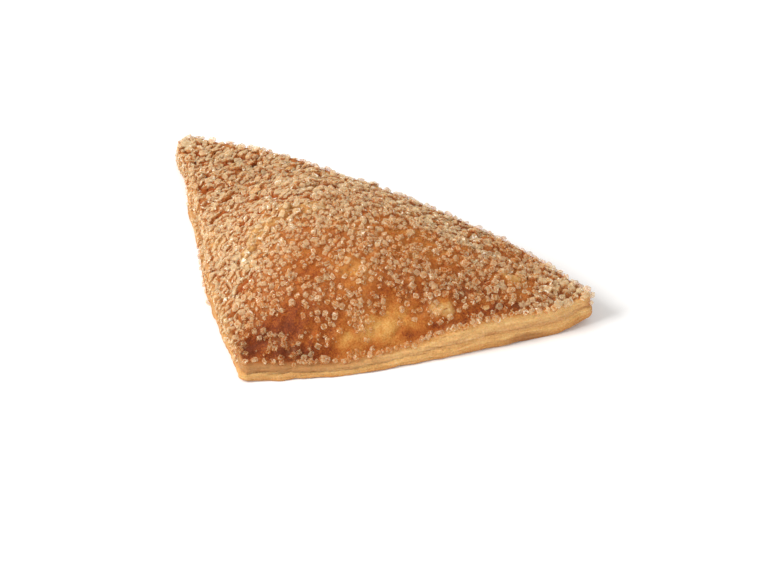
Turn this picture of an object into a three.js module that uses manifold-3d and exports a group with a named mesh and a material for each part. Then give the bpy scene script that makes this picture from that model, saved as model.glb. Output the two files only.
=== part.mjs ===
// A fruit turnover: a square of puff pastry folded corner to corner over its filling, so that it stands as
// a plump three-cornered cushion with one folded edge and two cut edges, sprinkled with coarse sugar.
// Millimetres: +X along the folded edge, +Y from the free corner B towards the fold, +Z up, the origin on
// the flat underside, in the middle of its bounding box.
import * as THREE from "three";
import Module from "manifold-3d";

// ---- sizes ----
// Plan: the corners of the triangle before they are rounded, and how the three edges run between them.
const CORNERS = { A: [-95.94, 51.14], B: [3.06, -52.16], C: [96.26, 43.23] };
const ROUND = { A: [22.0, 21.0], B: [3.0, 3.0], C: [9.0, 9.5] }; // rounding before and after each corner
const BOW = { AB: 3.4, BC: 5.3, CA: 3.4 }; // how far each edge swells out at its middle
const SKEW = { AB: 0.53, BC: 0.5, CA: 0.51 }; // where along the edge it swells the most
// Swells and nicks of the outline: how far out, where, and over which length.
const SWELLS = [
  { by: 5.4, at: ["A", 0.68], over: 8.5 }, // the knob at the end of the fold
  { by: -1.8, at: ["A", 0.97], over: 8.5 }, // the nick behind it
  { by: -1.2, at: ["AB", 0.36], over: 13 },
  { by: 0.6, at: ["AB", 0.62], over: 12 },
  { by: 0.8, at: ["BC", 0.28], over: 17 },
  { by: -0.5, at: ["BC", 0.62], over: 18 },
  { by: 0.9, at: ["BC", 0.93], over: 8 },
  { by: -1.0, at: ["C", 0.5], over: 8 },
];
const CREST = [-3.04, 14.83]; // the filling's middle, where the spokes of the surface meet

// Height of the edge all the way round: the cut edges are thin, the fold stands up round the filling.
const RIM = [
  ["A", 0.5, 11.5], ["AB", 0.25, 9.0], ["AB", 0.6, 9.0], ["AB", 0.9, 8.0], ["B", 0.5, 7.5],
  ["BC", 0.06, 6.4], ["BC", 0.24, 4.2], ["BC", 0.4, 5.6], ["BC", 0.5, 7.2], ["BC", 0.62, 11.0],
  ["BC", 0.76, 12.2], ["BC", 0.9, 11.4], ["C", 0.5, 12.0], ["CA", 0.2, 17.6], ["CA", 0.5, 18.8],
  ["CA", 0.8, 18.6], ["CA", 0.95, 15.2],
];
const LIFT = [
  ["A", 0.5, 0.0], ["B", 0.5, 0.0], ["BC", 0.92, 0.0], ["C", 0.3, 2.6], ["C", 0.8, 2.6], ["CA", 0.1, 0.0],
]; // how far the underside curls up off the table

// Cut edges: rows of the edge as shares of its height, and how far each feature draws the edge in.
const SIDE_ROWS = [0, 0.09, 0.24, 0.4, 0.5, 0.6, 0.74, 0.9, 1];
const FOOT = { deep: 0.8, high: 0.12 }; // the rounded foot
const PARTING = { deep: 0.9, at: 0.5, high: 0.07 }; // the groove between the lower and the upper sheet
const LIP = { deep: 0.7, high: 0.12 }; // the rounded top of the edge
const SETBACK = [
  ["A", 0.7, 1.6], ["AB", 0.1, 3.0], ["AB", 0.4, 2.6], ["AB", 0.55, 1.2], ["B", 0.5, 0.9], ["BC", 0.5, 1.2],
  ["C", 0.5, 1.0],
]; // the upper sheet stands back from the lower one
const SETBACK_FROM = 0.45; // share of the height where it does so
const SETBACK_RISE = 0.15; // and over which share
const LEAVES = { deep: 0.25, count: 4 }; // the leaves of the laminated dough that show in the cut
// Folded edge: a round roll.
const ROLL = { deep: 0.4, belly: 0.55 }; // depth as a share of its height, and how high its belly stands
const ROLL_ENDS = 13; // the fold turns into the cut edges over this length

// Top: a plain sheet risen over the filling.
const HEIGHT = 35.2;
const SHEET = 14.0; // height of the sheet itself in the middle, without the filling
const RIM_FADE = {
  AB: { start: 0, wide: 32, steep: 2 },
  BC: { start: 0, wide: 34, steep: 2 },
  CA: { start: 0, wide: 32, steep: 2 },
}; // how fast the edge's own height fades behind each edge
const FLANKS = {
  AB: { start: 2.0, wide: 58, steep: 3.0 },
  BC: { start: 3.0, wide: 60, steep: 2.2 },
  CA: { start: 0.0, wide: 60, steep: 2.3 },
}; // how fast the filling rises behind each edge
const SHELF = { foot: 46, wide: 50, deep: 0.7 }; // the flat end towards A, where there is little filling
const HOLLOWS = [
  { at: [1, -33], size: [10, 7], turn: 40, by: -2.2 },
  { at: [5, -13], size: [9, 6], turn: 20, by: -1.1 },
  { at: [51, 16], size: [13, 8], turn: 25, by: -1.2 },
  { at: [26, -8], size: [14, 9], turn: 40, by: 1.2 },
  { at: [-24, 28], size: [12, 9], turn: -30, by: 1.0 },
]; // places where the crust has sunk or blistered
const LEDGES = { from: 24, to: 78, every: 9.5, high: 1.1, gentle: 0.75, bend: 4, bendOver: 13 };
// torn steps across the flat end, counted from A: each climbs gently and then drops
const CRAGS = { high: 0.55, long: [11, 6.5], turn: 58, bend: [1.7, 2.1], bendOver: [9, 7] };
// unevenness of the flaky crust: two crossing swells that wander
const RELIEF_FROM = 0.1; // share of the way in over which both grow out of the plain edge

// Mesh: the steps round each stretch of the outline, and the rows on the top and the underside.
const ORDER = ["A", "AB", "B", "BC", "C", "CA"];
const STEPS = { A: 8, AB: 30, B: 4, BC: 36, C: 6, CA: 32 };
const TOP_ROWS = 17;
const ROW_CROWDING = 1.15; // above 1, the rows lie closer together near the edge
const THIN_OUT = [0.5, 0.78]; // shares of the way in where every other spoke stops
const BOTTOM_ROWS = [0.45, 0.88];
const FINE = { corner: 60, edge: 400 }; // points of the outline itself, from which the spokes are picked

// Coarse sugar: the largest crystals. A crystal's form is in shares of its size.
const SUGAR = { count: 130, largest: 3.4, smallest: 2.1, apart: 5.2, tries: 9000, seed: 20 };
const BARE = [
  { at: [22, -27], size: [15, 7], turn: 38 },
  { at: [42, -2], size: [12, 6], turn: 35 },
]; // smooth glazed patches that carry next to none
const GRAIN = {
  levels: [[-0.3, 0.46], [0.22, 0.5], [0.52, 0.28]], // height and half width of its foot, waist and top
  stretch: [0.8, 1.15],
  uneven: [0.85, 1.1],
  lean: 0.18,
};
const SUGAR_BORDER = 0.06; // share of the way in from the edge that stays free of large crystals

// ---- small helpers ----
const clamp = (f) => Math.min(1, Math.max(0, f));
const ease = (f) => clamp(f) ** 2 * (3 - 2 * clamp(f));
const mix = (a, b, f) => a + (b - a) * f;
const bell = (d) => Math.exp(-d * d);

function seeded(seed) {
  let state = seed;
  return () => {
    state = (state + 0x6d2b79f5) | 0;
    let word = Math.imul(state ^ (state >>> 15), 1 | state);
    word = (word + Math.imul(word ^ (word >>> 7), 61 | word)) ^ word;
    return ((word ^ (word >>> 14)) >>> 0) / 2 ** 32;
  };
}

function unit(from, to) {
  const length = Math.hypot(to[0] - from[0], to[1] - from[1]);
  return [(to[0] - from[0]) / length, (to[1] - from[1]) / length];
}

// A point given in axes centred on `spot` and turned by its angle, each divided by its size.
function within(spot, x, y) {
  const turn = (spot.turn * Math.PI) / 180;
  const [dx, dy] = [x - spot.at[0], y - spot.at[1]];
  const along = (dx * Math.cos(turn) + dy * Math.sin(turn)) / spot.size[0];
  const across = (dy * Math.cos(turn) - dx * Math.sin(turn)) / spot.size[1];
  return Math.hypot(along, across);
}

// ---- plan outline ----
function bezier(p0, p1, p2, count) {
  return Array.from({ length: count }, (_, i) => {
    const t = i / count;
    return [0, 1].map((k) => (1 - t) ** 2 * p0[k] + 2 * t * (1 - t) * p1[k] + t * t * p2[k]);
  });
}

function buildOutline() {
  const names = ["A", "B", "C"];
  const points = [];
  const starts = {};
  names.forEach((name, i) => {
    const next = names[(i + 1) % 3];
    const [here, there, back] = [CORNERS[name], CORNERS[next], CORNERS[names[(i + 2) % 3]]];
    const [onward, backward] = [unit(here, there), unit(here, back)];
    const start = here.map((v, k) => v + backward[k] * ROUND[name][0]);
    const turned = here.map((v, k) => v + onward[k] * ROUND[name][1]);
    const end = there.map((v, k) => v - onward[k] * ROUND[next][0]);
    const edge = name + next;
    const out = [onward[1], -onward[0]];
    const middle = turned.map((v, k) => mix(v, end[k], SKEW[edge]) + out[k] * 2 * BOW[edge]);
    starts[name] = points.length;
    points.push(...bezier(start, here, turned, FINE.corner));
    starts[edge] = points.length;
    points.push(...bezier(turned, middle, end, FINE.edge));
  });
  const along = [0];
  points.forEach((p, i) => {
    const q = points[(i + 1) % points.length];
    along.push(along[i] + Math.hypot(q[0] - p[0], q[1] - p[1]));
  });
  const marks = ORDER.map((name) => along[starts[name]]);
  return { points, along, marks: [...marks, along[points.length]] };
}

const outline = buildOutline();
const GIRTH = outline.along[outline.points.length];

// Distance along the outline of a share of one of its stretches.
function place(stretch, share) {
  const i = ORDER.indexOf(stretch);
  return mix(outline.marks[i], outline.marks[i + 1], share);
}

function pointAt(distance) {
  const { points, along } = outline;
  let i = along.findIndex((d) => d > distance) - 1;
  if (i < 0) i = points.length - 1;
  const f = (distance - along[i]) / (along[i + 1] - along[i]);
  const next = points[(i + 1) % points.length];
  return points[i].map((v, k) => mix(v, next[k], f));
}

// A value that runs smoothly through its stations round the outline and never overshoots them.
function around(stations) {
  const known = stations.map(([stretch, share, value]) => [place(stretch, share), value]);
  const count = known.length;
  const at = (i) => {
    const turn = Math.floor(i / count);
    const [d, value] = known[i - turn * count];
    return [d + turn * GIRTH, value];
  };
  const slopeOver = (i) => (at(i + 1)[1] - at(i)[1]) / (at(i + 1)[0] - at(i)[0]);
  const slopeAt = (i) => {
    const [before, after] = [slopeOver(i - 1), slopeOver(i)];
    return before * after <= 0 ? 0 : (2 * before * after) / (before + after);
  };
  return (distance) => {
    let i = -1;
    while (at(i + 1)[0] <= distance) i += 1;
    const [d0, v0] = at(i);
    const [d1, v1] = at(i + 1);
    const t = (distance - d0) / (d1 - d0);
    const [m0, m1] = [slopeAt(i) * (d1 - d0), slopeAt(i + 1) * (d1 - d0)];
    const rise = (v1 - v0) * t * t * (3 - 2 * t);
    return v0 + rise + m0 * t * (1 - t) ** 2 - m1 * t * t * (1 - t);
  };
}

const rimAt = around(RIM);
const liftAt = around(LIFT);
const setbackAt = around(SETBACK);

// 1 on the folded edge, 0 on the cut edges.
function foldAt(distance) {
  const [from, to] = [place("C", 0.5), GIRTH];
  const rise = ease((distance - from) / ROLL_ENDS);
  const fall = ease((to - distance) / ROLL_ENDS + 0.5);
  const wrapped = distance < place("AB", 0) ? 0.5 * ease(1 - distance / ROLL_ENDS) : 0;
  return Math.max(rise * fall, wrapped);
}

// ---- the edge seen in section: how far it stands in at a share of its height ----
function cutInset(share, setback) {
  const foot = FOOT.deep * clamp(1 - share / FOOT.high) ** 2;
  const back = setback * ease((share - SETBACK_FROM) / SETBACK_RISE);
  const parting = PARTING.deep * bell((share - PARTING.at) / PARTING.high);
  const lip = LIP.deep * clamp((share - 1) / LIP.high + 1) ** 2;
  const leaves = LEAVES.deep * Math.sin(share * LEAVES.count * 2 * Math.PI) * share * (1 - share) * 4;
  return foot + back + parting + lip + leaves;
}

function rollInset(share, rim) {
  const from = share / ROLL.belly - 1;
  return ROLL.deep * rim * (1 - Math.sqrt(Math.max(0, 1 - from * from)));
}

// ---- the top ----
// A cushion over the triangle: 0 on its edges, 1 in its middle, with a slope of its own behind each edge.
function cushion(flanks, x, y) {
  let share = 1;
  for (const [edge, flank] of Object.entries(flanks)) {
    const [from, to] = [CORNERS[edge[0]], CORNERS[edge[1]]];
    const along = unit(from, to);
    const [dx, dy] = [x - from[0], y - from[1]];
    const f = (dx * along[0] + dy * along[1]) / Math.hypot(to[0] - from[0], to[1] - from[1]);
    const swell = BOW[edge] * clamp(1 - (2 * f - 1) ** 2);
    const inside = dy * along[0] - dx * along[1] + swell - flank.start;
    share *= 1 - (1 - clamp(inside / flank.wide)) ** flank.steep;
  }
  return share;
}

function fillingAt(x, y) {
  return cushion(FLANKS, x, y) * (1 - SHELF.deep * (1 - ease((fromA(x, y) - SHELF.foot) / SHELF.wide)));
}

function fromA(x, y) {
  const along = unit(CORNERS.A, CREST);
  return (x - CORNERS.A[0]) * along[0] + (y - CORNERS.A[1]) * along[1];
}

function ledgesAt(x, y) {
  const [down, side] = [fromA(x, y), Math.sin((x - y) / LEDGES.bendOver)];
  const steps = (down + LEDGES.bend * side - LEDGES.from) / LEDGES.every;
  const tooth = steps - Math.floor(steps);
  const shape = tooth < LEDGES.gentle ? tooth / LEDGES.gentle : (1 - tooth) / (1 - LEDGES.gentle);
  const fade = ease((down - LEDGES.from) / LEDGES.every) * ease((LEDGES.to - down) / LEDGES.every);
  return LEDGES.high * (shape - 0.5) * fade;
}

function cragsAt(x, y) {
  const turn = (CRAGS.turn * Math.PI) / 180;
  const along = x * Math.cos(turn) + y * Math.sin(turn);
  const across = y * Math.cos(turn) - x * Math.sin(turn);
  const wander = [across, along].map((v, k) => CRAGS.bend[k] * Math.sin(v / CRAGS.bendOver[k]));
  const waves = [along, across].map((v, k) => Math.sin((2 * Math.PI * v) / CRAGS.long[k] + wander[k]));
  return CRAGS.high * waves[0] * waves[1];
}

const crestFilling = fillingAt(...CREST);

function topHeight(x, y, rim, inward) {
  const sheet = mix(rim, SHEET, cushion(RIM_FADE, x, y));
  let z = sheet + ((HEIGHT - SHEET) * fillingAt(x, y)) / crestFilling;
  const relief = ease(inward / RELIEF_FROM);
  for (const spot of HOLLOWS) z += relief * spot.by * bell(within(spot, x, y));
  return z + relief * (ledgesAt(x, y) + cragsAt(x, y));
}

// ---- the body: rows of points from the underside's middle, round the edge and up to the crest ----
function spokes() {
  const all = [];
  for (const stretch of ORDER) {
    for (let i = 0; i < STEPS[stretch]; i += 1) {
      const distance = place(stretch, i / STEPS[stretch]);
      const point = pointAt(distance);
      let reach = Math.hypot(point[0] - CREST[0], point[1] - CREST[1]);
      const out = unit(CREST, point);
      for (const swell of SWELLS) {
        const away = distance - place(...swell.at);
        reach += swell.by * bell((away - GIRTH * Math.round(away / GIRTH)) / swell.over);
      }
      const [rim, fold, setback] = [rimAt(distance), foldAt(distance), setbackAt(distance)];
      const inset = (share) => mix(cutInset(share, setback), rollInset(share, rim), fold);
      all.push({ out, reach, rim, lift: liftAt(distance), inset });
    }
  }
  return all;
}

const inwardOf = (row) => (row / TOP_ROWS) ** ROW_CROWDING;

function bodyRows() {
  const all = spokes();
  const at = (spoke, radius, z) => [CREST[0] + spoke.out[0] * radius, CREST[1] + spoke.out[1] * radius, z];
  const rows = [];
  for (const share of BOTTOM_ROWS) {
    rows.push(all.map((s) => at(s, (s.reach - s.inset(0)) * share, 0)));
  }
  for (const share of SIDE_ROWS) {
    rows.push(all.map((s) => at(s, s.reach - s.inset(share), mix(s.lift, s.rim, share))));
  }
  for (let k = 1; k < TOP_ROWS; k += 1) {
    const inward = inwardOf(k);
    const every = 2 ** THIN_OUT.filter((share) => share < inward).length;
    rows.push(
      all.filter((_, i) => i % every === 0).map((s) => {
        const [x, y] = at(s, (s.reach - s.inset(1)) * (1 - inward), 0);
        return [x, y, topHeight(x, y, s.rim, inward)];
      }),
    );
  }
  return rows;
}

// The band of triangles between two rows, the second of which may have half as many points as the first.
function band(lower, upper) {
  const ratio = lower.length / upper.length;
  return upper.flatMap((here, i) => {
    const next = upper[(i + 1) % upper.length];
    const foot = lower[i * ratio];
    const middle = lower[(i * ratio + 1) % lower.length];
    if (ratio === 1) return [[foot, middle, next], [foot, next, here]];
    const far = lower[(i * ratio + 2) % lower.length];
    return [[foot, middle, here], [middle, far, next], [middle, next, here]];
  });
}

function bodyMesh() {
  const rows = bodyRows();
  const points = [[...CREST, 0], ...rows.flat(), [...CREST, topHeight(...CREST, 0, 1)]];
  let used = 1;
  const numbered = rows.map((row) => row.map(() => used++));
  const triangles = [];
  const [first, last] = [numbered[0], numbered[numbered.length - 1]];
  first.forEach((here, i) => triangles.push([0, first[(i + 1) % first.length], here]));
  numbered.slice(1).forEach((upper, row) => triangles.push(...band(numbered[row], upper)));
  last.forEach((here, i) => triangles.push([used, here, last[(i + 1) % last.length]]));
  const edgeTop = BOTTOM_ROWS.length + SIDE_ROWS.length - 1;
  return { points, triangles, crust: numbered.slice(edgeTop) };
}

// ---- coarse sugar ----
const minus = (a, b) => a.map((v, k) => v - b[k]);
const cross = (a, b) => [a[1] * b[2] - a[2] * b[1], a[2] * b[0] - a[0] * b[2], a[0] * b[1] - a[1] * b[0]];
const scaled = (a, f) => a.map((v) => v * f);

// Places for the crystals: darts thrown evenly over the top, largest first, none too close to another.
function sugarSpots({ points, crust }, random) {
  const faces = [];
  let area = 0;
  crust.slice(1).forEach((upper, row) => {
    if (inwardOf(row + 1) < SUGAR_BORDER) return;
    for (const corners of band(crust[row], upper)) {
      const face = corners.map((i) => points[i]);
      const normal = cross(minus(face[1], face[0]), minus(face[2], face[0]));
      area += Math.hypot(...normal) / 2;
      faces.push({ face, normal: scaled(normal, 1 / Math.hypot(...normal)), upTo: area });
    }
  });
  const spots = [];
  for (let n = 0; n < SUGAR.tries && spots.length < SUGAR.count; n += 1) {
    const dart = random() * area;
    const { face, normal } = faces.find((f) => f.upTo > dart);
    const [u, v] = [Math.sqrt(random()), random()];
    const weights = [1 - u, u * (1 - v), u * v];
    const at = [0, 1, 2].map((k) => weights.reduce((sum, w, i) => sum + w * face[i][k], 0));
    const clear = spots.every((s) => Math.hypot(...minus(s.at, at)) > SUGAR.apart);
    const bare = BARE.some((patch) => within(patch, at[0], at[1]) < 1);
    if (clear && !bare) {
      spots.push({ at, normal, size: mix(SUGAR.largest, SUGAR.smallest, spots.length / SUGAR.count) });
    }
  }
  return spots;
}

// One crystal: an uneven cuboid with a bevelled top, sunk a little into the glaze.
function crystal(spot, random) {
  const uneven = () => mix(...GRAIN.uneven, random());
  const spin = random() * Math.PI;
  const side = cross(spot.normal, [Math.cos(spin), Math.sin(spin), 0]);
  const right = scaled(side, 1 / Math.hypot(...side));
  const front = cross(spot.normal, right);
  const [wide, lean] = [mix(...GRAIN.stretch, random()), mix(-GRAIN.lean, GRAIN.lean, random())];
  const points = [];
  for (const [height, half] of GRAIN.levels) {
    for (const [sx, sy] of [[-1, -1], [1, -1], [1, 1], [-1, 1]]) {
      const [a, b] = [sx * half * wide * uneven(), (sy * half * uneven()) / wide];
      const up = height + lean * a;
      const offset = (k) => right[k] * a + front[k] * b + spot.normal[k] * up;
      points.push(spot.at.map((v, k) => v + spot.size * offset(k)));
    }
  }
  const triangles = [[0, 2, 1], [0, 3, 2], [8, 9, 10], [8, 10, 11]];
  triangles.push(...band([0, 1, 2, 3], [4, 5, 6, 7]), ...band([4, 5, 6, 7], [8, 9, 10, 11]));
  return { points, triangles };
}

// ---- joined into one solid ----
const wasm = await Module();
wasm.setup();

function solid({ points, triangles }) {
  return new wasm.Manifold(
    new wasm.Mesh({
      numProp: 3,
      vertProperties: new Float32Array(points.flat()),
      triVerts: new Uint32Array(triangles.flat()),
    }),
  );
}

const body = bodyMesh();
const random = seeded(SUGAR.seed);
const whole = sugarSpots(body, random).reduce(
  (joined, spot) => joined.add(solid(crystal(spot, random))),
  solid(body),
);

const mesh = whole.getMesh();
const geometry = new THREE.BufferGeometry()
  .setAttribute("position", new THREE.BufferAttribute(new Float32Array(mesh.vertProperties), 3))
  .setIndex(new THREE.BufferAttribute(new Uint32Array(mesh.triVerts), 1));
geometry.computeVertexNormals();

const crust = new THREE.MeshStandardMaterial({
  color: "#bf854f",
  roughness: 0.6,
  metalness: 0,
  flatShading: true,
});
const pastry = new THREE.Mesh(geometry, crust);
pastry.name = "turnover";

const group = new THREE.Group();
group.add(pastry);
export default group;
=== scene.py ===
import math
from itertools import product
import bpy
import numpy as np
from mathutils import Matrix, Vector, noise


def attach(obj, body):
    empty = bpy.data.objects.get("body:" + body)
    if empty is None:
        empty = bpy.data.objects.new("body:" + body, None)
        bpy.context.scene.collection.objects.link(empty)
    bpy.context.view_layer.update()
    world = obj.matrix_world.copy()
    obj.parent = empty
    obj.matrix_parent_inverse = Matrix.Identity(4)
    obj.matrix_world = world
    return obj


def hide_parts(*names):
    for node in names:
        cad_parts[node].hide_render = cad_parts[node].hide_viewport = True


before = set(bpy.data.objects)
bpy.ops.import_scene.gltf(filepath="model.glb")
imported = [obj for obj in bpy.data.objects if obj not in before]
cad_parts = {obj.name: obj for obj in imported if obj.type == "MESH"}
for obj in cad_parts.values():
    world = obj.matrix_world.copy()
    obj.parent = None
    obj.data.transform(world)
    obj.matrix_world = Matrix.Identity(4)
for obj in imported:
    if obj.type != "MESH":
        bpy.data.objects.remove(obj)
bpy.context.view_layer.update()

MM = 0.001

# ---- the pastry's form, with the same named sizes as its solid ----
# Corner A is at the far left, B in front, C at the right, and edge CA is the fold. A place on the outline is
# one of these stretches and the share of the way along it.
ORDER = ["A", "AB", "B", "BC", "C", "CA"]
CORNERS = {"A": (-95.94, 51.14), "B": (3.06, -52.16), "C": (96.26, 43.23)}
ROUND = {"A": (22.0, 21.0), "B": (3.0, 3.0), "C": (9.0, 9.5)}  # cut off before and after a corner
BOW = {"AB": 3.4, "BC": 5.3, "CA": 3.4}
SKEW = {"AB": 0.53, "BC": 0.5, "CA": 0.51}  # where along it
SWELLS = [
    ("A", 0.68, 5.4, 8.5), ("A", 0.97, -1.8, 8.5), ("AB", 0.36, -1.2, 13), ("AB", 0.62, 0.6, 12),
    ("BC", 0.28, 0.8, 17), ("BC", 0.62, -0.5, 18), ("BC", 0.93, 0.9, 8), ("C", 0.5, -1.0, 8),
]  # where, how far out and over which length
FINE = {"corner": 60, "edge": 400}
CREST = (-3.04, 14.83)
RIM = [
    ("A", 0.5, 11.5), ("AB", 0.25, 9.0), ("AB", 0.6, 9.0), ("AB", 0.9, 8.0), ("B", 0.5, 7.5),
    ("BC", 0.06, 6.4), ("BC", 0.24, 4.2), ("BC", 0.4, 5.6), ("BC", 0.5, 7.2), ("BC", 0.62, 11.0),
    ("BC", 0.76, 12.2), ("BC", 0.9, 11.4), ("C", 0.5, 12.0), ("CA", 0.2, 17.6), ("CA", 0.5, 18.8),
    ("CA", 0.8, 18.6), ("CA", 0.95, 15.2),
]  # height of the top of the edge
LIFT = [
    ("A", 0.5, 0.0), ("B", 0.5, 0.0), ("BC", 0.92, 0.0), ("C", 0.3, 2.6), ("C", 0.8, 2.6), ("CA", 0.1, 0.0),
]  # height of its foot
SETBACK = [
    ("A", 0.7, 1.6), ("AB", 0.1, 3.0), ("AB", 0.4, 2.6), ("AB", 0.55, 1.2), ("B", 0.5, 0.9), ("BC", 0.5, 1.2),
    ("C", 0.5, 1.0),
]  # how far the upper leaf of dough stands back
SETBACK_FROM = 0.45  # of the edge's height, like the shares below
SETBACK_RISE = 0.15
FOOT = {"deep": 0.8, "high": 0.12}
PARTING = {"deep": 0.9, "at": 0.5, "high": 0.07}  # the line between the two leaves
LIP = {"deep": 0.7, "high": 0.12}
ROLL = {"deep": 0.4, "belly": 0.55}  # the round of the fold
ROLL_ENDS = 13  # the length over which it ends
HEIGHT = 35.2
SHEET = 14.0  # height of the dough without its filling
RIM_FADE = {"AB": (0, 32, 2), "BC": (0, 34, 2), "CA": (0, 32, 2)}  # start, width, steepness
FLANKS = {"AB": (2.0, 58, 3.0), "BC": (3.0, 60, 2.2), "CA": (0.0, 60, 2.3)}
SHELF = {"foot": 46, "wide": 50, "deep": 0.7}
HOLLOWS = [
    ((1, -33), (10, 7), 40, -2.2), ((5, -13), (9, 6), 20, -1.1), ((51, 16), (13, 8), 25, -1.2),
    ((26, -8), (14, 9), 40, 1.2), ((-24, 28), (12, 9), -30, 1.0),
]  # dents and bulges: where, half size, turn and how far up
LEDGES = {"from": 24, "to": 78, "every": 9.5, "high": 1.1, "gentle": 0.75, "bend": 4, "bend_over": 13}
CRAGS = {"high": 0.55, "long": (11, 6.5), "turn": 58, "bend": (1.7, 2.1), "bend_over": (9, 7)}
RELIEF_FROM = 0.1

# ---- the mesh of the crust ----
AROUND = 880  # points in a row
SIDE_STEPS = 34
TOP_STEPS = 118
HALVE_AT = (0.40, 0.70, 0.86)  # where the rows lose half their points
UNDER_ROWS = (0.35, 0.7, 0.93)


def clamp(f):
    return np.clip(f, 0.0, 1.0)


def ease(f):
    return clamp(f) ** 2 * (3 - 2 * clamp(f))


def mix(a, b, f):
    return a + (b - a) * f


def bell(d):
    return np.exp(-d * d)


def unit(a, b):
    d = np.subtract(b, a)
    return d / np.hypot(*d)


def turned_axes(x, y, turn):
    """The place along axes that are turned by so many degrees."""
    c, s = math.cos(math.radians(turn)), math.sin(math.radians(turn))
    return x * c + y * s, y * c - x * s


def unit_rows(vectors):
    return vectors / np.maximum(np.linalg.norm(vectors, axis=1), 1e-12)[:, None]


def within(at, size, turn, x, y):
    """Distance from a spot, in axes turned by its angle and divided by its size."""
    along, across = turned_axes(x - at[0], y - at[1], turn)
    return np.hypot(along / size[0], across / size[1])


def in_spot(points, at, size, turn):
    """1 in the middle of a spot, fading to 0 outside it."""
    return bell(within(at, size, turn, points[:, 0], points[:, 1]))


def bezier(p0, p1, p2, count):
    t = (np.arange(count) / count)[:, None]
    return (1 - t) ** 2 * np.array(p0) + 2 * t * (1 - t) * np.array(p1) + t * t * np.array(p2)


def build_outline():
    """Points round the plan outline, their distance along it and where each stretch starts."""
    parts = []
    for name, after, before in ("ABC", "BCA", "CAB"):
        here, there, back = (np.array(CORNERS[n]) for n in (name, after, before))
        onward = unit(here, there)
        start = here + unit(here, back) * ROUND[name][0]
        turned = here + onward * ROUND[name][1]
        end = there - onward * ROUND[after][0]
        out = np.array([onward[1], -onward[0]])
        middle = mix(turned, end, SKEW[name + after]) + out * 2 * BOW[name + after]
        parts += [bezier(start, here, turned, FINE["corner"]), bezier(turned, middle, end, FINE["edge"])]
    points = np.vstack(parts + [parts[0][:1]])
    along = np.concatenate([[0], np.cumsum(np.hypot(*np.diff(points, axis=0).T))])
    return points, along, along[np.cumsum([0] + [len(part) for part in parts])]


OUTLINE, ALONG, MARKS = build_outline()
GIRTH = ALONG[-1]


def place(stretch, share):
    i = ORDER.index(stretch)
    return mix(MARKS[i], MARKS[i + 1], share)


def point_at(distance):
    d = np.mod(distance, GIRTH)
    return np.interp(d, ALONG, OUTLINE[:, 0]), np.interp(d, ALONG, OUTLINE[:, 1])


def around(stations):
    """A value that runs smoothly through its stations round the outline and never overshoots them."""
    at = np.array([place(stretch, share) for stretch, share, _ in stations])
    values = np.array([value for _, _, value in stations])
    gaps = np.append(np.diff(at), at[0] + GIRTH - at[-1])
    after = (np.roll(values, -1) - values) / gaps
    before = np.roll(after, 1)
    same = before * after > 0
    slope = np.where(same, 2 * before * after / np.where(same, before + after, 1), 0)

    def value(distance):
        d = at[0] + np.mod(distance - at[0], GIRTH)
        i = np.searchsorted(at, d, side="right") - 1
        j = (i + 1) % len(at)
        t = (d - at[i]) / gaps[i]
        rise = (values[j] - values[i]) * t * t * (3 - 2 * t)
        return values[i] + rise + gaps[i] * (slope[i] * t * (1 - t) ** 2 - slope[j] * t * t * (1 - t))

    return value


rim_at = around(RIM)
lift_at = around(LIFT)
setback_at = around(SETBACK)


def fold_at(distance):
    """1 on the folded edge, 0 on the cut edges."""
    rise = ease((distance - place("C", 0.5)) / ROLL_ENDS)
    fall = ease((GIRTH - distance) / ROLL_ENDS + 0.5)
    wrapped = np.where(distance < place("AB", 0), 0.5 * ease(1 - distance / ROLL_ENDS), 0)
    return np.maximum(rise * fall, wrapped)


def cut_inset(share, setback):
    foot = FOOT["deep"] * clamp(1 - share / FOOT["high"]) ** 2
    back = setback * ease((share - SETBACK_FROM) / SETBACK_RISE)
    parting = PARTING["deep"] * bell((share - PARTING["at"]) / PARTING["high"])
    lip = LIP["deep"] * clamp((share - 1) / LIP["high"] + 1) ** 2
    return foot + back + parting + lip


def roll_inset(share, rim):
    past = share / ROLL["belly"] - 1
    return ROLL["deep"] * rim * (1 - np.sqrt(np.maximum(0, 1 - past * past)))


def cushion(flanks, x, y):
    share = 1.0
    for edge, (start, wide, steep) in flanks.items():
        a, b = CORNERS[edge[0]], CORNERS[edge[1]]
        along = unit(a, b)
        dx, dy = x - a[0], y - a[1]
        f = (dx * along[0] + dy * along[1]) / math.dist(a, b)
        inside = dy * along[0] - dx * along[1] + BOW[edge] * clamp(1 - (2 * f - 1) ** 2) - start
        share = share * (1 - (1 - clamp(inside / wide)) ** steep)
    return share


def from_a(x, y):
    along = unit(CORNERS["A"], CREST)
    return (x - CORNERS["A"][0]) * along[0] + (y - CORNERS["A"][1]) * along[1]


def filling_at(x, y):
    rise = ease((from_a(x, y) - SHELF["foot"]) / SHELF["wide"])
    return cushion(FLANKS, x, y) * (1 - SHELF["deep"] * (1 - rise))


def ledges_at(x, y):
    down, side = from_a(x, y), np.sin((x - y) / LEDGES["bend_over"])
    steps = (down + LEDGES["bend"] * side - LEDGES["from"]) / LEDGES["every"]
    tooth = steps - np.floor(steps)
    gentle = LEDGES["gentle"]
    shape = np.where(tooth < gentle, tooth / gentle, (1 - tooth) / (1 - gentle))
    fade = ease((down - LEDGES["from"]) / LEDGES["every"]) * ease((LEDGES["to"] - down) / LEDGES["every"])
    return LEDGES["high"] * (shape - 0.5) * fade


def crags_at(x, y):
    along, across = turned_axes(x, y, CRAGS["turn"])
    waves = [
        np.sin(2 * math.pi * v / size + bend * np.sin(other / over))
        for v, other, size, bend, over in zip(
            (along, across), (across, along), CRAGS["long"], CRAGS["bend"], CRAGS["bend_over"]
        )
    ]
    return CRAGS["high"] * waves[0] * waves[1]


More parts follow.
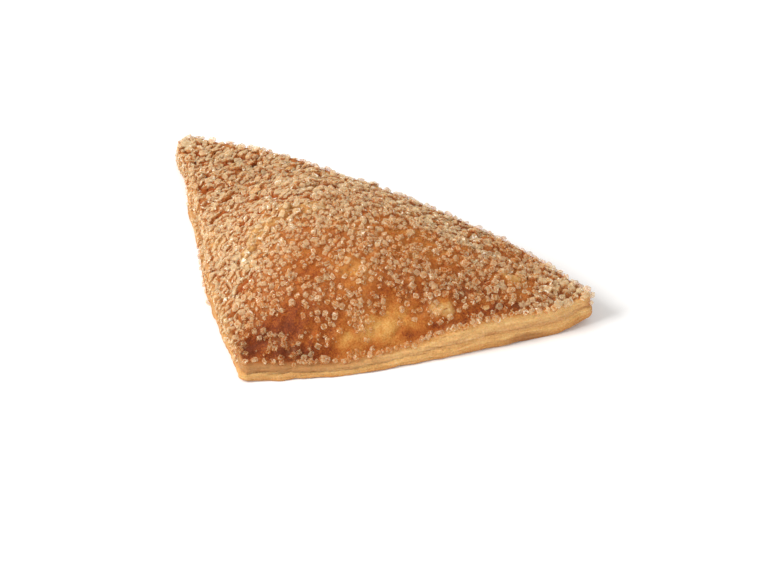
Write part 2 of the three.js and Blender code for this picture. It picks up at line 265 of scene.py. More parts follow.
def top_height(x, y, rim, inward):
    sheet = mix(rim, SHEET, cushion(RIM_FADE, x, y))
    z = sheet + (HEIGHT - SHEET) * filling_at(x, y) / filling_at(*CREST)
    relief = ease(inward / RELIEF_FROM)
    for at, size, turn, by in HOLLOWS:
        z = z + relief * by * bell(within(at, size, turn, x, y))
    return z + relief * (ledges_at(x, y) + crags_at(x, y))


# ---- noise on arrays of points ----
SEED_STEP, CELL_STEP = np.array([17.3, -9.7, 31.1]), np.array([11.9, 23.3, -7.1])  # what a seed moves them by
HASH_WAY, HASH_BY = (12.9, 78.2, 37.7), 43758.5  # turn the middle of a cell into its random number


def noise_at(points, size, seed):
    """Smooth noise, from about -1 to 1, with lumps of that size."""
    moved = points / size + seed * SEED_STEP
    return np.array([noise.noise(p) for p in moved.tolist()])


def rough_at(points, *layers):
    """A sum of noises, each with its height, size and seed."""
    return sum(high * noise_at(points, size, seed) for high, size, seed in layers)


def sway_at(points, size, seeds, far):
    pushes = [noise_at(points, size, seed) for seed in seeds]
    return np.column_stack([*pushes, np.zeros(len(points))]) * far


def cells_at(points, seed):
    """For each point: the way to its cell's border, the cell's random number, and its place in the cell."""
    moved = points + seed * CELL_STEP
    gap, level, offset = np.empty(len(points)), np.empty(len(points)), np.empty((len(points), 3))
    for i, p in enumerate(moved.tolist()):
        far, middles = noise.voronoi(p)
        gap[i] = far[1] - far[0]
        level[i] = (math.sin(middles[0].dot(HASH_WAY)) * HASH_BY) % 1.0
        offset[i] = middles[0]
    return gap, level, moved - offset


# ---- the crust ----
def crust_rows():
    """The base surface row by row, from the underside round the edge to the crest."""
    distance = GIRTH * np.arange(AROUND) / AROUND
    px, py = point_at(distance)
    dx, dy = px - CREST[0], py - CREST[1]
    reach = np.hypot(dx, dy)
    out = np.stack([dx / reach, dy / reach], axis=1)
    for stretch, share, by, over in SWELLS:
        away = distance - place(stretch, share)
        reach = reach + by * bell((away - GIRTH * np.round(away / GIRTH)) / over)
    rim, lift, fold, setback = (f(distance) for f in (rim_at, lift_at, fold_at, setback_at))

    def inset(share):
        return mix(cut_inset(share, setback), roll_inset(share, rim), fold)

    rows = []

    def add(radius, z, share, inward, keep=slice(None)):
        count = len(distance[keep])
        xy = np.array(CREST) + out[keep] * radius[keep][:, None]
        z = z(xy) if callable(z) else np.broadcast_to(z, distance.shape)[keep]
        rows.append({
            "points": np.column_stack([xy, z]), "distance": distance[keep], "rim": rim[keep],
            "share": np.full(count, share), "inward": np.full(count, inward),
        })

    foot = reach - inset(0)
    for f in UNDER_ROWS:
        add(foot * f, 0.0, -1 + f, -1.0)
    for k in range(SIDE_STEPS + 1):
        share = k / SIDE_STEPS
        add(reach - inset(share), mix(lift, rim, share), share, 0.0)
    for k in range(1, TOP_STEPS):
        inward = k / TOP_STEPS
        keep = slice(None, None, 2 ** sum(at < inward for at in HALVE_AT))
        height = lambda xy: top_height(*xy.T, rim[keep], inward)
        add((reach - inset(1)) * (1 - inward), height, 1.0, inward, keep)
    return rows


def band_faces(lower, upper):
    """Faces between two rows of vertex numbers, the second of which may have half as many."""
    if len(lower) == len(upper):
        return np.stack([lower, np.roll(lower, -1), np.roll(upper, -1), upper], axis=1).tolist()
    foot, middle, far = lower[::2], lower[1::2], np.roll(lower[::2], -1)
    onward = np.roll(upper, -1)
    faces = [(foot, middle, upper), (middle, far, onward), (middle, onward, upper)]
    return np.vstack([np.stack(f, axis=1) for f in faces]).tolist()


def crust_base():
    rows = crust_rows()
    ends = [
        {"points": np.array([[*CREST, 0.0]]), "share": [-1.0], "inward": [-1.0]},
        {"points": np.array([[*CREST, top_height(*CREST, 0, 1)]]), "share": [1.0], "inward": [1.0]},
    ]
    fields = {}
    for key in ("points", "share", "inward", "distance", "rim"):
        parts = [ends[0].get(key, [0.0])] + [row[key] for row in rows] + [ends[1].get(key, [0.0])]
        fields[key] = np.vstack(parts) if key == "points" else np.concatenate(parts)
    numbers, used = [], 1
    for row in rows:
        numbers.append(np.arange(used, used + len(row["points"])))
        used += len(row["points"])
    faces = [[0, b, a] for a, b in zip(numbers[0].tolist(), np.roll(numbers[0], -1).tolist())]
    for lower, upper in zip(numbers, numbers[1:]):
        faces += band_faces(lower, upper)
    faces += [[used, a, b] for a, b in zip(numbers[-1].tolist(), np.roll(numbers[-1], -1).tolist())]
    return fields, faces


def triangles_of(faces):
    return np.array([(f[0], f[i], f[i + 1]) for f in faces for i in range(1, len(f) - 1)])


def normals_of(points, tris):
    """Unit normals, weighted by the area of the triangles round a point."""
    a, b, c = (points[tris[:, k]] for k in range(3))
    face = np.cross(b - a, c - a)
    total = np.zeros_like(points)
    for k in range(3):
        np.add.at(total, tris[:, k], face)
    return unit_rows(total)


def ridge_at(y):
    """x of the ridge between the left face and the front face."""
    return np.interp(y, (-46, -32, -23, -12, 15, 60), (2.7, -8.6, -8.6, -3.5, -2.8, -6))


def leafy_at(x, y):
    """1 where the crust is torn into leaves, 0 where it is smooth and glazed."""
    left = ease((ridge_at(y) - x) / 16 + 0.35)
    back = ease((y - 22) / 16) * ease((62 - x) / 30)
    return np.maximum(left, 0.8 * back)


TEAR_TURN = -40  # the torn leaves climb this way, in degrees from +X, and their edges run across it
WARP = (8, (1, 2), 2.4)  # how they bend: size, seeds, how far
JAG = (2.4, (3, 4), 0.8)  # and how they fray
LEAF_LAYERS = [(6.8, 13, 1.1, 6), (3.4, 6.8, 1.0, 7)]  # their width, length, height and seed
TEARS = [
    ([(-26, 13.5), (-19, 9.4), (-12, 11.0), (-4.5, 12.2)], 1.2, 1.5),
    ([(-63, 20.5), (-59.5, 22.5)], 1.4, 1.6), ([(-54, 45), (-51, 48)], 1.3, 1.4),
    ([(-33, 14.2), (-29.5, 16.6)], 1.3, 1.5), ([(-36, 38.5), (-31.5, 42)], 1.3, 1.4),
    ([(-47, 8), (-41, 13), (-38, 19)], 1.0, 1.3), ([(-66, 30), (-62, 37)], 1.0, 1.3),
    ([(-16, -27), (-11.5, -21)], 1.0, 1.2), ([(-50, 24), (-46.5, 33), (-44, 40)], 1.1, 1.4),
    ([(-78, 40), (-74, 45)], 1.2, 1.3), ([(-38, 22), (-34, 30)], 1.0, 1.3), ([(-30, -2), (-25, 3)], 1.0, 1.2),
]  # the long tears: their course, half width and depth
PLATES = [
    ([(-2.5, 9.0), (-8, 4.5), (-13.9, -0.5), (-18, -6.5), (-19, -11.5), (-16, -17)], 3.0, 0.9),
    ([(63.5, 27.5), (66.5, 28.6), (69, 31)], 1.2, 0.6),
    ([(50, 0.5), (54, 3.5)], 2.2, 0.7), ([(-45, -1), (-36, -6)], 2.6, 0.5),
]  # smooth raised plates and folds: their course, half width and height
SMOOTH_FACE = ((38, -14), (18, 8), 41)  # glazed: where, half size and turn
SOFT = [(0.45, 11, 8), (0.3, 4.5, 9)]
GRAIN = [(0.2, 1.6, 10), (0.1, 0.8, 11)]


def off_line(line, points):
    """Distance in plan from a line through the given places."""
    x, y = points[:, 0], points[:, 1]
    nearest = np.full(len(x), np.inf)
    for a, b in zip(line, line[1:]):
        ux, uy = b[0] - a[0], b[1] - a[1]
        t = clamp(((x - a[0]) * ux + (y - a[1]) * uy) / (ux * ux + uy * uy))
        nearest = np.minimum(nearest, np.hypot(x - a[0] - t * ux, y - a[1] - t * uy))
    return nearest


def torn_leaves(points, bent, leafy):
    """How high the overlapping leaves stand, and how deep the cracks between them are."""
    down, side = turned_axes(bent[:, 0], bent[:, 1], TEAR_TURN)
    weight = mix(0.16, 1.0, leafy * clamp(0.65 + 0.8 * noise_at(points, 15, 5)))
    top, dip = np.zeros(len(points)), np.zeros(len(points))
    for wide, long, high, seed in LEAF_LAYERS:
        flat = np.column_stack([down / wide, side / long, np.zeros(len(points))])
        gap, level, offset = cells_at(flat, seed)
        crack = 1 - ease(gap / 0.2)
        shingle = (level - 0.5) * 0.9 + 0.9 * offset[:, 0]
        top += high * weight * (shingle - 0.9 * crack)
        dip = np.maximum(dip, weight * crack * ease(0.75 - 1.2 * shingle))
    return top, dip


def crust_relief(fields):
    """How far the top stands out, how deep its crevices are, how leafy it is, and its plates."""
    points = fields["points"]
    leafy = leafy_at(points[:, 0], points[:, 1])
    warp = sway_at(points, *WARP)
    bent = points + warp + sway_at(points, *JAG)
    top, dip = torn_leaves(points, bent, leafy)
    for line, wide, deep in TEARS:
        cleft = bell(off_line(line, bent - 0.4 * warp) / (1.15 * wide))
        top -= 0.65 * deep * cleft
        dip = np.maximum(dip, cleft)
    plate = np.zeros(len(points))
    for line, wide, high in PLATES:
        raised = 1 - ease((off_line(line, bent - 0.6 * warp) / wide - 0.55) / 0.6)
        top += high * raised * (1 - 0.7 * dip)
        plate = np.maximum(plate, raised * (1 - dip))
    soft = rough_at(points, *SOFT) * (1 - 0.6 * in_spot(points, *SMOOTH_FACE))
    on_top = ease(fields["inward"] / 0.03)
    top = on_top * (top + mix(1, 0.5, leafy) * soft + rough_at(points, *GRAIN))
    return top, clamp(on_top * dip), leafy, plate


def bare_edge_at(distance):
    """1 where the edge is a plain cut through the dough, 0 where the crust wraps round it."""
    return ease((distance - place("AB", 0.04)) / 8) * ease((place("C", 0.75) - distance) / 7)


def ring_at(distance):
    """The same place on a plain ring, where noise closes on itself."""
    ring = distance / GIRTH * 2 * math.pi
    return np.column_stack([np.cos(ring), np.sin(ring), np.zeros_like(ring)]) * GIRTH / (2 * math.pi)


def raised(loop, height):
    return loop + np.outer(height, (0, 0, 1))


def on_side(fields):
    """1 on the edge, 0 on the top and the underside."""
    return np.where((fields["share"] >= 0) & (fields["inward"] <= 0.0), 1.0, 0.0)


LEAF = 1.5  # height of one thin leaf of the cut dough
LEAF_SWAY = [(1.1, 13, 21), (0.35, 4.5, 28)]  # how they wander up and down
SKIN = [(0.6, 9, 25), (0.3, 3, 26)]  # the waves of the fold


def parting_fill(loop, share, distance):
    """What nearly closes the line between the two thick leaves, from the front corner on."""
    closed = (distance > place("B", 0.6)) * clamp(0.85 + 0.5 * noise_at(loop, 20, 37))
    step = ease((share - SETBACK_FROM) / SETBACK_RISE) - clamp((share - 0.42) / 0.5)
    groove = PARTING["deep"] * bell((share - PARTING["at"]) / PARTING["high"])
    return closed * (groove + setback_at(distance) * step)


def edge_relief(fields):
    """How far the edge stands out, where shade is painted in its creases, the numbers of its thin leaves, and
    the wavy height.
    """
    points, share, distance = fields["points"], fields["share"], fields["distance"]
    side, loop = on_side(fields), ring_at(distance)
    cut = bare_edge_at(distance) * side
    high = share * fields["rim"]
    level = raised(loop, high * 1.2)
    leaf = (high + rough_at(level, *LEAF_SWAY)) / LEAF
    nth = np.floor(leaf)
    phase = leaf - nth
    by_leaf = noise_at(raised(loop, nth * 7.7), 8, 22)
    fine = noise_at(raised(loop, nth * 5.1 + 40), 2.4, 23)
    rounded = 1 - (2 * phase - 1) ** 2
    ends = ease(share / 0.1) * ease((1.03 - share) / 0.15)
    leaves = ends * cut * (0.55 * by_leaf + 0.2 * fine + 0.16 * (rounded - 0.6))
    sway = 0.8 * noise_at(loop, 7, 24) * ease(1 - share / 0.4) + parting_fill(loop, share, distance)
    skin = (1 - cut) * side * rough_at(points, *SKIN)
    grain = side * (0.14 * noise_at(points, 1.1, 27) + 0.16 * noise_at(level, 2.2, 29))
    # painted shade: darker in the creases between the rounded leaves
    crease_shade = cut * ends * clamp(0.9 - 2.6 * rounded + 0.7 * fine + 0.6 * by_leaf)
    foot = side * ease(share / mix(0.16, 0.08, cut))
    layer = clamp(share + 0.075 * noise_at(loop, 17, 35) + 0.05 * noise_at(level, 6, 36))
    return (leaves + cut * sway + skin + grain) * foot, clamp(crease_shade), leaf, layer


def wavy_foot(fields):
    """How far the foot of the cut edges curls up off the table."""
    loop = ring_at(fields["distance"])
    lifted = ease(0.2 + 1.3 * noise_at(loop, 9, 61)) * 0.7 + 0.25 * clamp(noise_at(loop, 3, 62))
    near = on_side(fields) * ease(1 - fields["share"] / 0.35)
    return lifted * near * bare_edge_at(fields["distance"])


RAGGED = [(6, (51, 53), 2.6), (2.2, (52, 54), 1.0)]  # how the borders of spots fray


def spots(points, marks, start):
    """A value that turns towards each mark's own value inside its ragged spot."""
    bent = points + sway_at(points, *RAGGED[0]) + sway_at(points, *RAGGED[1])
    value = np.full(len(points), float(start))
    for at, size, turn, target, strength in marks:
        value = mix(value, target, strength * in_spot(bent, at, size, turn))
    return value


BAKED = 0.58  # how dark the crust is between the spots, from 0 to 1
BAKE = [
    ((-40, 18), (44, 26), -35, 0.56, 0.9), ((-62, 38), (26, 16), 0, 0.66, 0.6),
    ((10, -33), (20, 8.5), 38, 0.82, 1.0), ((3.5, -39.5), (8, 5), 40, 1.0, 1.0),
    ((-1, -45), (4, 3.5), 0, 1.0, 0.9), ((34, 15), (15, 9), 20, 0.44, 0.8),
    ((56, 13), (10, 6), 25, 0.82, 0.9), ((58, 5.5), (4.5, 7), 40, 0.62, 0.8),
    ((84, 36), (12, 8), 30, 0.66, 0.9), ((8.5, -15.5), (5.5, 4.5), 20, 0.62, 0.9),
    ((24, -7), (7, 6), 30, 0.28, 0.85), ((13, 9), (8, 6), 0, 0.42, 0.7),
    ((-38, 12), (8, 6), -40, 0.78, 0.7), ((-13, 8), (7, 5), 0, 0.42, 0.6),
    ((35.4, -6.7), (6, 4), 30, 0.74, 0.8), ((44, 0), (10, 7), 40, 0.72, 0.7),
    ((22, 15), (7, 6), 20, 0.45, 0.9), ((38, -14), (13, 4.6), 41, 0.06, 1.0),
    ((31, -23.5), (5, 2.6), 41, 0.12, 1.0), ((52, 1.8), (3.4, 2.4), 40, 0.3, 0.8),
    ((66, 27.8), (4, 1.8), 40, 0.2, 1.0), ((-15, -4), (6, 13), -20, 0.2, 0.8),
]  # where, half size, turn, how dark, and how strongly
MOTTLE = [(0.5, 14, 31), (0.35, 6, 32)]


def bake_at(points, inward, plate):
    """How dark the crust is: by spots and mottles, darker behind the front rim, paler on plates."""
    behind_rim = bell((inward - 0.055) / 0.03) * ease((points[:, 0] - 4) / 8)
    rim_bake = 0.3 * behind_rim * (0.7 + noise_at(points, 7, 33))
    bake = spots(points, BAKE, BAKED) + 0.22 * rough_at(points, *MOTTLE) + rim_bake
    return clamp(mix(bake, 0.2, 0.5 * plate))


def toasted_at(points, distance, layer):
    """How toasted the cut edges are: the upper leaf near corner B, edge AB, and a scorch on BC."""
    near_b = ease(1.2 - np.hypot(points[:, 0] - 3, points[:, 1] + 50) / 62)
    on_ab = ease((place("AB", 1.0) - distance) / 5)
    toasted = np.maximum(near_b * mix(0.2, 0.8, ease((layer - 0.4) / 0.2)), 0.45 * on_ab)
    scorched = bell((distance - place("BC", 0.82)) / 8) * ease((0.36 - layer) / 0.16)
    return np.maximum(toasted, 0.75 * scorched)


def build_crust():
    """The crust's mesh, what its material reads, and what the sugar needs to know of each point."""
    fields, faces = crust_base()
    tris = triangles_of(faces)
    top, dip, leafy, plate = crust_relief(fields)
    edge, crease_shade, leaf, layer = edge_relief(fields)
    points = fields["points"] + normals_of(fields["points"], tris) * (top + edge)[:, None]
    points[:, 2] = np.maximum(points[:, 2], 0.0) + wavy_foot(fields)
    inward, share, distance = fields["inward"], fields["share"], fields["distance"]
    lip = clamp(1 - inward / 0.012) * (inward > 0)
    bake = bake_at(points, inward, plate)
    # dip darkens the crevices of the top and the creases of the cut edges as painted shade
    looks = {
        "bake": bake, "dip": np.maximum(dip, crease_shade), "layer": layer, "leaf": leaf, "along": distance / 10,
        "cut": bare_edge_at(distance) * np.maximum(on_side(fields), lip),
        "toasted": toasted_at(points, distance, layer),
        "under": np.where(share < 0, 1.0, 0.0), "plate": plate, "leafy": leafy,
        "frost": sprinkle_at(points, fields),
    }
    return {
        **fields, "points": points, "normals": normals_of(points, tris), "faces": faces, "tris": tris,
        "looks": looks, "leafy": leafy, "dip": dip, "plate": plate, "bake": bake,
    }


def placed(name, data):
    o = bpy.data.objects.new(name, data)
    bpy.context.scene.collection.objects.link(o)
    return o


def mesh_object(name, points, faces, attributes):
    """A smooth mesh of points in millimetres, with named values at each of them."""
    mesh = bpy.data.meshes.new(name)
    mesh.from_pydata((points * MM).tolist(), [], faces)
    mesh.polygons.foreach_set("use_smooth", [True] * len(mesh.polygons))
    for key, values in attributes.items():
        layer = mesh.attributes.new(key, "FLOAT", "POINT")
        layer.data.foreach_set("value", np.asarray(values, dtype=np.float32))
    mesh.update()
    return placed(name, mesh)


# ---- sugar ----
SPRINKLED = 0.68  # how densely the sugar lies between the spots, from 0 to 1
SPRINKLE = [
    ((-70, 42), (30, 24), -10, 1.05, 1.0), ((-34, 12), (32, 22), -45, 1.05, 1.0),
    ((0, 32), (60, 14), 0, 0.9, 0.9), ((6, 12), (22, 14), 20, 0.95, 0.9),
    ((-20, -20), (15, 14), -45, 1.0, 0.9), ((84, 38), (16, 12), 30, 1.1, 1.0),
    ((-8, -22), (9, 9), -45, 0.85, 0.8), ((20, -22), (20, 9), 38, 0.5, 0.8),
    ((9, -33), (16, 6), 38, 0.3, 1.0), ((4, -39), (9, 5), 40, 0.1, 1.0),
    ((8.5, -15.5), (4.4, 3.2), 20, 0.15, 1.0), ((22, -10), (5, 4), 30, 0.45, 1.0),
    ((23, 15), (6, 5), 20, 0.3, 0.9), ((44, -2), (7, 6), 40, 0.3, 0.8),
    ((38, -14), (14, 4.6), 41, 0.02, 1.0), ((31, -23.5), (5, 2.6), 41, 0.02, 1.0),
    ((52, 1.8), (3.2, 2.2), 40, 0.0, 1.0), ((58, 6), (4.5, 5), 40, 0.3, 0.9),
    ((66, 27.8), (4, 1.8), 40, 0.1, 0.9), ((-3, -43), (2.4, 5), 20, 1.0, 0.9),
    ((44, 13), (20, 12), 30, 0.66, 0.9), ((31, 16), (10, 7), 20, 0.55, 0.8),
    ((46, 4), (6, 4), 30, 0.35, 0.8), ((38.6, 7), (3.4, 2.6), 10, 1.0, 1.0),
    ((22, 3), (7, 6), 20, 0.85, 0.7), ((27, -4), (6, 5), 20, 0.9, 0.8), ((34, 12), (5, 4), 20, 0.8, 0.6),
    ((-38, 12), (8, 6), -40, 0.62, 0.8), ((-50, 30), (8, 6), -40, 0.7, 0.7),
    ((-13, 8), (7, 5), 0, 1.0, 0.8), ((2, -1), (6, 5), 0, 0.9, 0.7), ((75, 26), (5, 4), 30, 0.7, 0.7),
    ((31, -17), (4, 3), 30, 0.9, 1.0), ((58, 14), (9, 5), 25, 0.75, 0.9),
    ((68, 20), (8, 5), 30, 0.7, 0.9),
]  # where, half size, turn, how densely, and how strongly
PATCHES = [(1.0, 6.5, 41), (0.7, 3.0, 42)]  # how uneven it is
ROW = {"at": 0.012, "wide": 0.016}  # the row of grains along the rim
LOWEST = 0.05  # of the height of the edge; no grain or flake lies below
SEAM = 50  # triangles that span more of the outline, at its start and the crest, stay bare
CELL = 5.0  # side of the squares searched for neighbours, more than any spacing
GRAIN_LIMIT = 4100
SPACING = 0.72  # of the size of a coarse grain, between it and the next
COARSE = {"darts": 90000, "size": 2.3, "spread": 0.18, "limits": (1.0, 3.4)}
FINE_SUGAR = {"darts": 90000, "size": 0.95, "spread": 0.22, "limits": (0.55, 1.5)}
PILED = ((-64, 49), (17, 6), -4)  # where the grains lie high
LARGER = [((84, 38), (14, 12), 30, 0.3), ((-88, 46), (13, 11), -40, 0.25), (*PILED, 0.25)]  # and by how much
FLAT, CHUNKY = np.array([1.22, 1.02, 0.54]), np.array([1.08, 1.0, 0.85])  # on leafy and on smooth crust
DOWNHILL = np.array([0.77, -0.64, 0])
MILKY = [
    ((84, 38), (15, 12), 30, 0.6), ((24, 30), (34, 9), 0, 0.2), ((-44, 27), (28, 15), -35, -0.18),
    ((38, -16), (20, 10), 41, -0.14), ((-88, 46), (13, 11), -40, 0.2),
]  # where, half size, turn and how much milkier
CREST_SPOT = ((2, 10), (20, 12), 20)
BOXY = 0.3  # 0 is a ball, 1 a cube
SMOOTH_SHARE = 0.3  # of the grains; the others are faceted


def on_row(inward):
    return bell((inward - ROW["at"]) / ROW["wide"])


def top_sprinkle(at, patchy, inward, distance):
    """Thick and thin spots, less behind the front rim, and a row of grains along it."""
    value = spots(at, SPRINKLE, SPRINKLED)
    value = clamp(value + mix(0.8, 0.12, clamp(value)) * patchy * (value > 0.06))
    front = ease((distance - place("BC", 0.1)) / 6) * ease((place("BC", 0.86) - distance) / 12)
    value = value * (1 - 0.65 * front * bell((inward - 0.06) / 0.028))
    row = on_row(inward) * (distance > place("BC", 0.12)) * (distance < place("C", 0.9))
    return np.maximum(value, 0.96 * row)


def edge_sprinkle(patchy, share, distance):
    """Wrapped round the fold and the knob, hanging from the rim of AB and of corner C."""
    knob = np.maximum(ease((place("AB", 0.12) - distance) / 10), ease((distance - place("CA", 0.84)) / 26))
    foot = mix(0.2, 0.02, knob) + 0.4 * bell((distance - place("C", 1.0)) / 16)
    wrapped = 0.9 * ease((share - foot) / 0.3)
    hanging = (0.76 + 0.5 * patchy) * ease((share - 0.2) / 0.3) * (distance < place("AB", 0.97))
    tip = (0.9 + 0.3 * patchy) * ease((share - 0.62) / 0.2) * ease((distance - place("C", 0.2)) / 5)
    hanging = np.where(distance < place("C", 0.0), hanging, clamp(tip))
    return mix(wrapped, hanging, bare_edge_at(distance))


def sprinkle_at(at, fields):
    """How densely the sugar lies, from 0 to 1, with no regard to crevices."""
    inward, share, distance = fields["inward"], fields["share"], fields["distance"]
    patchy = rough_at(at, *PATCHES)
    on_top = top_sprinkle(at, patchy, inward, distance)
    return np.where(inward <= 0, edge_sprinkle(patchy, share, distance), on_top)


def density_at(darts):
    return clamp(sprinkle_at(darts["at"], darts) * (1 - 0.85 * ease((darts["dip"] - 0.3) / 0.5)))


def chance_at(density):
    """The share of darts to keep, so that they cover the surface in step with the density."""
    return clamp(0.08 * density ** 1.3 / (1.03 - density))


def surface_darts(crust, count, rng):
    """Random points all over the crust, each with the crust's own values there."""
    points, tris = crust["points"], crust["tris"]
    tris = tris[crust["share"][tris].min(axis=1) >= LOWEST]
    tris = tris[np.ptp(crust["distance"][tris], axis=1) < SEAM]
    a, b, c = (points[tris[:, k]] for k in range(3))
    area = np.linalg.norm(np.cross(b - a, c - a), axis=1)
    pick = rng.choice(len(tris), size=count, p=area / area.sum())
    u, v = np.sqrt(rng.random(count)), rng.random(count)
    weights = np.stack([1 - u, u * (1 - v), u * v], axis=1)

    def blend(values):
        return np.einsum("nk,nk...->n...", weights, values[tris[pick]])

    keys = ("inward", "share", "distance", "dip", "leafy", "plate", "bake")
    darts = {key: blend(crust[key]) for key in keys}
    return {**darts, "at": blend(points), "normal": unit_rows(blend(crust["normals"]))}


def spread(at, spacing, taken=()):
    """Numbers of the darts that keep their spacing from all those kept before."""
    grid, kept = {}, []

    def near(p, reach):
        cx, cy = int(p[0] // CELL), int(p[1] // CELL)
        steps = range(-reach, reach + 1)
        return [grid.setdefault((cx + i, cy + j), []) for i in steps for j in steps]

    for p, r in taken:
        near(p, 0)[0].append((p, r))
    for n, (p, r) in enumerate(zip(at.tolist(), spacing.tolist())):
        if all(math.dist(p, q) > 0.5 * (r + s) for square in near(p, 1) for q, s in square):
            near(p, 0)[0].append((p, r))
            kept.append(n)
    return np.array(kept)


def lump(boxy):
    """A cube rounded towards a ball: 26 points and 24 faces, one unit across."""
    steps = (-1, 0, 1)
    points = [(x, y, z) for x in steps for y in steps for z in steps if (x, y, z) != (0, 0, 0)]
    number = {p: i for i, p in enumerate(points)}
    faces = []
    for axis, sign, i, j in product(range(3), (-1, 1), (-1, 0), (-1, 0)):
        quad = []
        for u, v in ((i, j), (i + 1, j), (i + 1, j + 1), (i, j + 1)):
            p = [0, 0, 0]
            p[axis], p[(axis + 1) % 3], p[(axis + 2) % 3] = sign, u, v
            quad.append(number[tuple(p)])
        faces.append(quad if sign > 0 else quad[::-1])
    shape = np.array(points, dtype=float)
    return mix(unit_rows(shape), shape * 0.8, boxy) * 0.5, np.array(faces)


def turned(normal, rng, lean):
    """Random frames that lean away from the normals a little."""
    count = len(normal)
    up = unit_rows(normal + rng.normal(0, lean, (count, 3)))
    side = unit_rows(np.cross(up, rng.normal(0, 1, (count, 3))))
    return np.stack([side, np.cross(up, side), up], axis=1)


def flake_frames(normal, way):
    """Frames with their first axis that way along the surface."""
    along = np.column_stack([np.cos(way), np.sin(way), np.zeros(len(way))])
    along = unit_rows(along - normal * np.einsum("ij,ij->i", along, normal)[:, None])
    return np.stack([along, np.cross(normal, along), normal], axis=1)


def scatter(name, at, frames, sizes, rng, rough, looks):
    """One mesh of many lumps, each stretched and dented in its own way."""
    shape, faces = lump(BOXY)
    count = len(at)
    dent = 1 + rng.normal(0, rough, (count, len(shape), 3))
    points = np.einsum("nvk,nkj->nvj", shape[None] * dent * sizes[:, None, :], frames) + at[:, None, :]
    points[:, :, 2] = np.maximum(points[:, :, 2], 0.02)
    offset = np.arange(count)[:, None, None] * len(shape)
    all_faces = (faces[None] + offset).reshape(-1, 4)
    far = np.linalg.norm(shape, axis=1)
    rim = np.tile((far - far.min()) / np.ptp(far), count)
    # the height in the grain and its corners (rim) also make its colour paler there, as painted light
    high = np.einsum("nvj,nj->nv", points - at[:, None, :], frames[:, 2]) / sizes[:, 2:3] + 0.5
    each = {key: np.repeat(values, len(shape)) for key, values in looks.items()}
    # the random numbers at each point place the painted glints
    attributes = {**each, "rim": rim, "high": high.ravel(), "glint_seed": rng.random(rim.shape)}
    o = mesh_object(name, points.reshape(-1, 3), all_faces.tolist(), attributes)
    smooth = np.repeat(rng.random(count) < SMOOTH_SHARE, len(faces))
    o.data.polygons.foreach_set("use_smooth", smooth.tolist())
    return o


def grain_tints(at, rng):
    """How pale each grain is, from 0 to 1, in loose patches."""
    pale = 0.2 * leafy_at(at[:, 0], at[:, 1])
    return clamp(rng.random(len(at)) * 0.8 + 0.1 + 0.4 * noise_at(at, 7, 43) + pale)


def with_spots(at, marks, value):
    """The value, changed inside each mark's spot by that mark's own amount."""
    for spot, size, turn, by in marks:
        value = value + by * in_spot(at, spot, size, turn)
    return value


def cloudiness(at, bake):
    """How milky each grain is, from 0 to 1: clear where it melted on the dark crust."""
    milky = 0.3 + 0.4 * np.maximum(leafy_at(at[:, 0], at[:, 1]), 0.8 * in_spot(at, *CREST_SPOT))
    return clamp(with_spots(at, MILKY, milky) - 0.4 * ease((bake - 0.65) / 0.3))


def random_sizes(kind, count, rng):
    return rng.lognormal(math.log(kind["size"]), kind["spread"], count)


def coarse_sizes(darts, rng):
    """Larger in the named spots and in the row on the front rim, smaller on the edges."""
    size = random_sizes(COARSE, len(darts["at"]), rng) * mix(1.0, 1.02, darts["leafy"])
    size = np.clip(size * with_spots(darts["at"], LARGER, 1), *COARSE["limits"])
    front = (darts["distance"] > place("BC", 0.25)) * (darts["distance"] < place("C", 0.0))
    return size * np.where(darts["inward"] > 0, 1 + 0.12 * on_row(darts["inward"]) * front, 0.8)


def landed(darts, density, room, rng, taken=()):
    """The darts that stay, by the density and the room of each."""
    wanted = np.flatnonzero(rng.random(len(room)) < chance_at(density))
    kept = wanted[spread(darts["at"][wanted], room[wanted], taken)][:GRAIN_LIMIT]
    return {key: values[kept] for key, values in darts.items()}


def grains(name, lying, frames, sizes, lift, rng, rough):
    """The mesh of the grains, each lifted off its place by a share of its size."""
    middle = lying["at"] + lying["normal"] * (lying["size"] * lift)[:, None]
    looks = {"tint": grain_tints(lying["at"], rng), "cloudy": cloudiness(lying["at"], lying["bake"])}
    return scatter(name, middle, frames, sizes, rng, rough, looks)


def build_coarse_sugar(crust):
    """The coarse grains, and where each one lies with the room it takes."""
    rng = np.random.default_rng(41)
    darts = surface_darts(crust, COARSE["darts"], rng)
    darts["size"] = coarse_sizes(darts, rng)
    room = darts["size"] * (SPACING - 0.03 * darts["leafy"])
    lying = landed(darts, density_at(darts), room, rng)
    at, normal, leafy, size = lying["at"], lying["normal"], lying["leafy"][:, None], lying["size"]
    count = len(at)
    sizes = size[:, None] * rng.uniform(0.82, 1.2, (count, 3)) * mix(CHUNKY, FLAT, leafy)
    way = np.radians(TEAR_TURN + 90 + rng.normal(0, 55, count))
    lean = unit_rows(normal + rng.normal(0, 0.26, (count, 3)) - 0.3 * DOWNHILL * leafy)
    leafed = rng.random(count) < leafy[:, 0]
    frames = np.where(leafed[:, None, None], flake_frames(lean, way), turned(normal, rng, 0.3))
    lift = rng.uniform(0.0, 0.24, count) + 0.2 * in_spot(at, *PILED)
    coarse = grains("coarse_sugar", lying, frames, sizes, lift, rng, 0.15)
    return coarse, list(zip(at.tolist(), (0.72 * size).tolist()))


def build_fine_sugar(crust, taken):
    """Fine grains in the room left between the places taken by coarse ones."""
    rng = np.random.default_rng(42)
    darts = surface_darts(crust, FINE_SUGAR["darts"], rng)
    darts["size"] = np.clip(random_sizes(FINE_SUGAR, len(darts["at"]), rng), *FINE_SUGAR["limits"])
    density = clamp(density_at(darts) * mix(0.45, 0.25, darts["leafy"]) + 0.04 * (darts["inward"] > 0.004))
    lying = landed(darts, density, 0.9 * darts["size"], rng, taken)
    count = len(lying["at"])
    sizes = lying["size"][:, None] * rng.uniform(0.7, 1.2, (count, 3))
    frames = turned(lying["normal"], rng, 0.5)
    return grains("fine_sugar", lying, frames, sizes, rng.uniform(0.05, 0.3, count), rng, 0.12)


